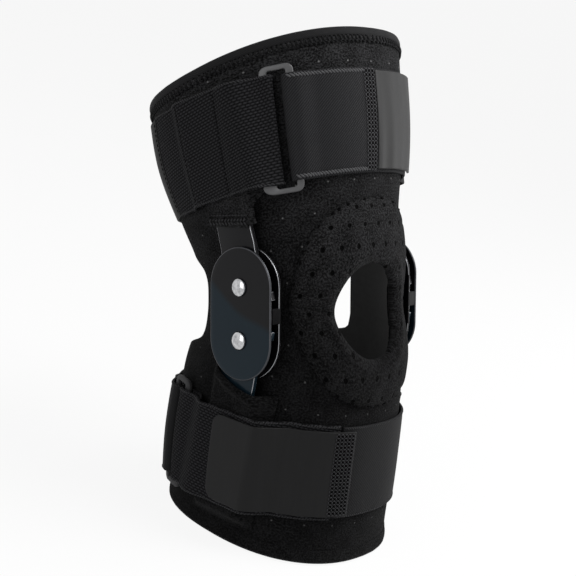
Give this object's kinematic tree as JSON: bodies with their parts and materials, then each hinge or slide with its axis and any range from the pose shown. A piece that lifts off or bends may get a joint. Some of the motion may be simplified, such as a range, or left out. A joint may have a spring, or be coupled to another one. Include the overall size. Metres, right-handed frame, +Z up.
{
  "type": "hinged knee brace",
  "caption": "Hinged knee brace: a soft sleeve with an open kneecap ring, geared hinges and stay bars at its sides, and hook-and-loop straps drawn through plastic rings.",
  "frame": {"origin": "centre of the bounding box in plan, at the calf rim that the brace stands on", "axes": "+X toward the inner side of the knee, +Y toward the back of the leg, +Z up; the calf stands upright and the thigh leans back as on a knee bent a little"},
  "size_m": [0.1642, 0.2078, 0.311],
  "materials": {
    "knit_sleeve": "black neoprene faced with plush knit, matte and slightly fuzzy",
    "perforated_knit": "black plush knit pad with rows of small holes",
    "edge_binding": "smooth black edge tape, overlocked",
    "coarse_elastic": "black woven elastic, coarse cross rib",
    "fine_webbing": "black woven webbing, fine rib",
    "hook_tab": "dark grey moulded hook tab on nylon, smooth and satin",
    "hinge_plate": "glossy blue-black lacquer",
    "stay_bar": "black anodised bar with bright worn edges",
    "rivet": "polished dome heads",
    "washer": "natural nylon",
    "tri_ring": "light grey moulded plastic, satin"
  },
  "bodies": {
    "calf": {"calf_sleeve": "knit_sleeve", "calf_binding": "edge_binding", "lateral_calf_arm": "stay_bar", "lateral_calf_pocket": "knit_sleeve", "medial_calf_arm": "stay_bar", "medial_calf_pocket": "knit_sleeve", "calf_elastic": "coarse_elastic", "calf_ring": "tri_ring", "calf_webbing": "fine_webbing"},
    "hinge_heads": {"knee_sleeve": "knit_sleeve", "patella_pad": "perforated_knit", "lateral_inner_plate": "hinge_plate", "lateral_outer_plate": "hinge_plate", "medial_inner_plate": "hinge_plate", "medial_outer_plate": "hinge_plate", "lateral_thigh_rivet": "rivet", "lateral_thigh_inner_washer": "washer", "lateral_thigh_outer_washer": "washer", "lateral_calf_rivet": "rivet", "lateral_calf_inner_washer": "washer", "lateral_calf_outer_washer": "washer", "medial_thigh_rivet": "rivet", "medial_thigh_inner_washer": "washer", "medial_thigh_outer_washer": "washer", "medial_calf_rivet": "rivet", "medial_calf_inner_washer": "washer", "medial_calf_outer_washer": "washer"},
    "thigh": {"thigh_sleeve": "knit_sleeve", "thigh_binding": "edge_binding", "lateral_thigh_arm": "stay_bar", "lateral_thigh_pocket": "knit_sleeve", "medial_thigh_arm": "stay_bar", "medial_thigh_pocket": "knit_sleeve", "thigh_elastic": "coarse_elastic", "thigh_ring": "tri_ring", "thigh_webbing": "fine_webbing"},
    "thigh_tab": {"thigh_front_tab": "hook_tab"},
    "rear_tab": {"thigh_rear_tab": "hook_tab"},
    "calf_tab": {"calf_front_tab": "hook_tab"}
  },
  "joints": [
    {"name": "knee_flexion_lower", "type": "hinge", "parent": "calf", "child": "hinge_heads", "pos_m": [0.00093, -0.0356, 0.12492], "axis": [-1, 0, 0], "range_deg": [-12, 26], "deforming": ["knee_sleeve", "patella_pad"]},
    {"name": "knee_flexion_upper", "type": "hinge", "parent": "hinge_heads", "child": "thigh", "pos_m": [0.00093, -0.02783, 0.15492], "axis": [-1, 0, 0], "range_deg": [-12, 26], "deforming": ["knee_sleeve", "patella_pad"]},
    {"name": "thigh_tab_peel", "type": "hinge", "parent": "thigh", "child": "thigh_tab", "pos_m": [-0.00287, -0.04877, 0.26091], "axis": [0.005, -0.3024, -0.9532], "range_deg": [0, 80]},
    {"name": "rear_tab_peel", "type": "hinge", "parent": "thigh", "child": "rear_tab", "pos_m": [-0.06435, 0.0544, 0.20301], "axis": [-0.1009, 0.496, 0.8624], "range_deg": [0, 80]},
    {"name": "calf_tab_peel", "type": "hinge", "parent": "calf", "child": "calf_tab", "pos_m": [-0.02074, -0.09893, 0.05807], "axis": [0.0057, 0.1176, 0.993], "range_deg": [0, 80]}
  ],
  "couplings": [
    {"joint": "knee_flexion_upper", "follows": "knee_flexion_lower", "ratio": 1}
  ]
}
